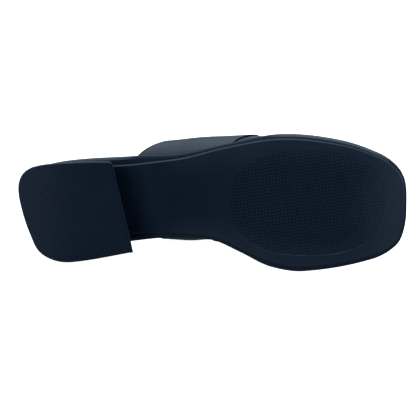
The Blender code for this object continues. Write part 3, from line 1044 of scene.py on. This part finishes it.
def crease_rise(creases, edges, u, v):
    """Height of the creases at a place on a strap, each a soft trough or ridge that fades out at its ends."""
    wide = smooth_value(edges, v, "front") - smooth_value(edges, v, "rear")
    here = Vector((u * wide, v * STRAP_LENGTH))
    total = 0.0
    for crease in creases:
        start = Vector((crease.across_from * wide, crease.over_from * STRAP_LENGTH))
        end = Vector((crease.across_to * wide, crease.over_to * STRAP_LENGTH))
        run = end - start
        share = min(max((here - start).dot(run) / run.length_squared, 0.0), 1.0)
        off = (here - start - run * share).length / crease.width
        fade = smoothstep(2 * share) * smoothstep(2 - 2 * share)
        total += crease.rise * math.exp(-off * off) * fade
    return total


def edge_and_ink(edges, v, side):
    """Place of a strap's edge, and the reach of its ink along the shoe, wider where the edge slants."""
    behind, here, ahead = (smooth_value(edges, v + step, side) for step in (-SLANT_STEP, 0.0, SLANT_STEP))
    slant = (ahead - behind) / (2 * SLANT_STEP * STRAP_LENGTH)
    return here, EDGE_INK[side] * math.hypot(1.0, slant)


def make_strap(name, edges, creases, sizes, over=None):
    """Lined strap with inked edges, raised where it crosses over another, with its creases."""
    wall = sizes.strap_wall / MM
    last = STRAP_CELLS[0]
    spots = []

    def place(u, v):
        rear, rear_ink = edge_and_ink(edges, v, "rear")
        front, front_ink = edge_and_ink(edges, v, "front")
        column = round(u * last)
        x = rear if column == 0 else front
        if 0 < column < last:
            x = rear + rear_ink + (front - front_ink - rear - rear_ink) * (column - 1) / (last - 2)
        section = along(last_section(x), v)
        spots.append(((x - rear) / (front - rear), v))
        return Vector((x, *section))

    strap = new_grid(name, STRAP_CELLS, place)
    normals = [vert.normal.copy() for vert in strap.data.vertices]
    for vert, normal, (u, v) in zip(strap.data.vertices, normals, spots):
        rise = crease_rise(creases, edges, u, v)
        if over:
            ahead_of_rear = vert.co.x - smooth_value(over, v, "rear")
            behind_front = smooth_value(over, v, "front") - vert.co.x
            inside = min(ahead_of_rear, behind_front)
            rise += (wall - STRAP_OVERLAP) * smoothstep(1 + inside / STEP_RAMP)
        vert.co += normal * rise

    ink = shared(inked_edge)
    for material in (shared(smooth_leather), ink, shared(pigskin_lining), ink, ink):
        strap.data.materials.append(material)
    for face in strap.data.polygons:
        face.material_index = int(face.index % last in (0, last - 1))
    change(
        strap, "SOLIDIFY", thickness=wall, offset=1.0, use_even_offset=True, material_offset=2,
        material_offset_rim=3)
    round_edges(strap, sizes.strap_rounding / MM, segments=2)
    change(strap, "SUBSURF", levels=1, render_levels=1)
    settle(strap, "strap_leather", "upper")


def sock_section():
    """Section of the sock: a soft edge, a sunk stitch channel and a slightly crowned middle."""
    rows = layer_section(SOCK_LOW, SOCK_TOP, SOCK_LOW_ROUNDING, SOCK_ROUNDING)[:-ACROSS_STEPS]
    for step, drop in CHANNEL_SHAPE:
        inset = CHANNEL_INSET + step * CHANNEL_HALF_WIDTH
        rows.append(SectionRow(inset, SOCK_TOP - drop * CHANNEL_DEPTH, 0.0))
    for i in range(ACROSS_STEPS):
        share = (i + 1) / ACROSS_STEPS
        rows.append(SectionRow(inset, SOCK_TOP + SOCK_CROWN * smoothstep(share * CROWN_GROWTH), share))
    return rows


def make_stitches(sizes):
    """Row of stitches let into the sock, round its edge."""
    row = SectionRow(CHANNEL_INSET, SOCK_TOP - CHANNEL_DEPTH, 0.0)
    path = sole_ring(lambda x: SOCK_INSET, row)
    path.append(path[0].copy())
    lengths = path_lengths(path)
    count = round(lengths[-1] / (sizes.stitch / MM))
    thread = sizes.thread / MM
    around, along_stitch = STITCH_SEGMENTS
    stitches = bmesh.new()
    for i in range(count):
        reach = (lengths[-1] * (i + share) / count for share in STITCH_STRETCH)
        start, end = (point_at(path, place_at(lengths, length)) for length in reach)
        run = end - start
        turn = run.to_track_quat("X", "Z").to_matrix().to_4x4()
        size = Matrix.Diagonal((run.length / 2, thread / 2, thread / 2, 1.0))
        spot = Matrix.Translation(start.lerp(end, 0.5) + Vector((0.0, 0.0, thread * STITCH_PROUD)))
        bmesh.ops.create_uvsphere(
            stitches, u_segments=around, v_segments=along_stitch, radius=1.0, matrix=spot @ turn @ size)
    mesh = bpy.data.meshes.new("sock_stitches")
    stitches.to_mesh(mesh)
    stitches.free()
    piece = bpy.data.objects.new("sock_stitches", mesh)
    bpy.context.scene.collection.objects.link(piece)
    return piece


def lay_floor(stage):
    """White floor that brightens away from the shoe.

    It is kept out of reflections and throws no light back, since the shoe shows nothing of it.
    """
    bpy.ops.object.select_all(action="DESELECT")
    bpy.ops.mesh.primitive_plane_add(size=FLOOR_SIZE)
    floor = bpy.context.object
    floor.name = "studio_floor"
    white = (*stage.floor, 1.0)
    material, add, sockets, place = new_material(
        "studio_floor", Base_Color=white, Emission_Color=white, Roughness=0.9)
    reach = add("VectorMath", {"operation": "LENGTH"}, {0: place})
    stops = [(at, (glow,) * 3) for at, glow in zip(GLOW_REACH, (stage.floor_glow, 1.0))]
    add("ValToRGB", {"stops": stops}, {"Fac": reach.outputs["Value"]}, sockets["Emission Strength"])
    floor.data.materials.append(material)
    floor.visible_glossy = floor.visible_diffuse = False


def light_surroundings(stage):
    """Soft light from all round: a bright band over the horizon, weaker overhead and weakest from below."""
    world = bpy.data.worlds.new("studio")
    world.use_nodes = True
    tree = world.node_tree
    background = tree.nodes["Background"].inputs
    background["Color"].default_value = (*stage.surroundings, 1.0)
    sky = add_node(tree, "TexCoord")
    height = add_node(tree, "SeparateXYZ", links={"Vector": sky.outputs["Generated"]})
    levels = dict(zip(("From Min", "From Max"), SKY_HEIGHTS))
    level = add_node(tree, "MapRange", levels, {"Value": height.outputs["Z"]})
    low, high = stage.low_light, stage.surroundings_strength
    stops = [(at, (light,) * 3) for at, light in zip(SKY_STOPS, (low, low, 1.0, high, high))]
    add_node(tree, "ValToRGB", {"stops": stops}, {"Fac": level}, background["Strength"])
    bpy.context.scene.world = world
    bpy.context.scene.view_settings.view_transform = "Standard"


def hang_softbox(stage, box):
    """Wide soft light that faces a target, in the tint of the surroundings."""
    light = bpy.data.lights.new(box.name, "AREA")
    light.color = stage.surroundings
    light.shape = "RECTANGLE"
    light.size, light.size_y = box.size
    light.energy = getattr(stage, box.power)
    lamp = bpy.data.objects.new(box.name, light)
    bpy.context.scene.collection.objects.link(lamp)
    lamp.visible_glossy = box.shows
    lamp.location = box.place
    lamp.rotation_euler = (Vector(box.target) - Vector(box.place)).to_track_quat("-Z", "Y").to_euler()


def place_camera(stage):
    """Camera that looks at the sole, tilted a little towards the shoe's outer side."""
    right = Vector((1.0, 0.0, 0.0))
    up = Vector((0.0, -math.cos(stage.camera_tilt), math.sin(stage.camera_tilt)))
    back = right.cross(up)
    pose = Matrix((right, up, back)).transposed().to_4x4()
    pose.translation = CAMERA_TARGET * MM + back * stage.camera_distance
    lens = bpy.data.cameras.new("camera")
    lens.sensor_width = SENSOR_WIDTH
    lens.lens = stage.lens
    lens.clip_start = CLIP_START
    camera = bpy.data.objects.new("camera", lens)
    bpy.context.scene.collection.objects.link(camera)
    camera.matrix_world = REST_POSE @ pose
    bpy.context.scene.camera = camera


class MULE_OT_outsole(bpy.types.Operator):
    """Moulds the outsole and the tread under its forefoot"""

    bl_idname = "mule.outsole"
    bl_label = "Outsole"

    def execute(self, context):
        section = layer_section(0.0, OUTSOLE_THICK, OUTSOLE_CHAMFER, OUTSOLE_CHAMFER, steps=1)
        outsole = sole_layer("outsole_moulding", outsole_inset, section)
        sink_tread(outsole)
        trim_edge(outsole)
        settle(outsole, "outsole_rubber", "outsole")
        tread = make_tread(context.scene.mule_sizes)
        settle(tread, "outsole_rubber", "outsole", shared(moulded_rubber))
        return {"FINISHED"}


class MULE_OT_footbed(bpy.types.Operator):
    """Wraps the footbed"""

    bl_idname = "mule.footbed"
    bl_label = "Footbed"

    def execute(self, context):
        section = layer_section(FOOTBED_LOW, FOOTBED_TOP, FOOTBED_ROUNDING, FOOTBED_ROUNDING)
        footbed = sole_layer("footbed_wrap", lambda x: 0.0, section)
        # Faces tucked in against the outsole take the dark ink: painted shade in the recess
        for face in footbed.data.polygons:
            face.material_index = int(face.normal.dot(sole_down(face.center.x)) > TUCK_SHADE_FACING)
        rub_rim(footbed)
        settle(footbed, "footbed_leather", "footbed", shared(wrap_leather), shared(inked_edge))
        return {"FINISHED"}


class MULE_OT_sock(bpy.types.Operator):
    """Lays the sock on the footbed and stitches it"""

    bl_idname = "mule.sock"
    bl_label = "Sock"

    def execute(self, context):
        sock = sole_layer("sock", lambda x: SOCK_INSET, sock_section())
        settle(sock, "sock_leather", "insole", shared(sock_leather))
        stitches = make_stitches(context.scene.mule_sizes)
        settle(stitches, "sock_leather", "insole", shared(bonded_thread))
        return {"FINISHED"}


class MULE_OT_heel(bpy.types.Operator):
    """Makes the flared heel block and its ribbed top piece"""

    bl_idname = "mule.heel"
    bl_label = "Heel"

    def execute(self, context):
        block = close_rings("heel_lacquered", [heel_ring(TOP_PIECE_THICK + GAP), heel_ring(None)])
        round_edges(block, HEEL_ROUNDING)
        settle(block, "heel_lacquer", "heel_block", shared(heel_lacquer))
        rings = [heel_ring(0.0, HEEL_CHAMFER), heel_ring(HEEL_CHAMFER), heel_ring(TOP_PIECE_THICK)]
        top_piece = close_rings("heel_tip", rings)
        round_edges(top_piece, HEEL_ROUNDING)
        trim_edge(top_piece)
        settle(top_piece, "top_piece_rubber", "heel_top_piece")
        ribs = make_ribs(context.scene.mule_sizes)
        settle(ribs, "top_piece_rubber", "heel_top_piece", shared(moulded_rubber))
        return {"FINISHED"}


class MULE_OT_straps(bpy.types.Operator):
    """Makes the two crossing straps"""

    bl_idname = "mule.straps"
    bl_label = "Straps"

    def execute(self, context):
        sizes = context.scene.mule_sizes
        make_strap("strap_under", UNDER_STRAP, UNDER_CREASES, sizes)
        make_strap("strap_over", OVER_STRAP, OVER_CREASES, sizes, over=UNDER_STRAP)
        return {"FINISHED"}


class MULE_OT_stage(bpy.types.Operator):
    """Sets up the floor, the soft studio light and the camera"""

    bl_idname = "mule.stage"
    bl_label = "Stage"

    def execute(self, context):
        stage = context.scene.mule_stage
        lay_floor(stage)
        light_surroundings(stage)
        for box in SOFTBOXES:
            hang_softbox(stage, box)
        place_camera(stage)
        return {"FINISHED"}


class MULE_PT_panel(bpy.types.Panel):
    """Mule pieces and settings in the sidebar"""

    bl_idname = "MULE_PT_panel"
    bl_label = "Heeled mule"
    bl_space_type = "VIEW_3D"
    bl_region_type = "UI"
    bl_category = "Mule"

    def draw(self, context):
        layout = self.layout
        for operator in OPERATORS:
            layout.operator(operator.bl_idname)
        for name, group in GROUPS.items():
            box = layout.box()
            for setting in group.__annotations__:
                box.prop(getattr(context.scene, name), setting)


GROUPS = {"mule_sizes": MuleSizes, "mule_colours": MuleColours, "mule_stage": MuleStage}
OPERATORS = (
    MULE_OT_outsole, MULE_OT_footbed, MULE_OT_sock, MULE_OT_heel, MULE_OT_straps, MULE_OT_stage)


def register():
    """Registers the groups, the operators and the panel."""
    for name, group in GROUPS.items():
        bpy.utils.register_class(group)
        setattr(bpy.types.Scene, name, PointerProperty(type=group))
    for entry in (*OPERATORS, MULE_PT_panel):
        bpy.utils.register_class(entry)


def unregister():
    """Takes them away again."""
    for entry in (MULE_PT_panel, *reversed(OPERATORS)):
        bpy.utils.unregister_class(entry)
    for name, group in GROUPS.items():
        delattr(bpy.types.Scene, name)
        bpy.utils.unregister_class(group)


def main():
    """Registers the add-on, then builds every piece and the stage."""
    register()
    bpy.ops.mule.outsole()
    bpy.ops.mule.footbed()
    bpy.ops.mule.sock()
    bpy.ops.mule.heel()
    bpy.ops.mule.straps()
    bpy.ops.mule.stage()


if __name__ == "__main__":
    main()
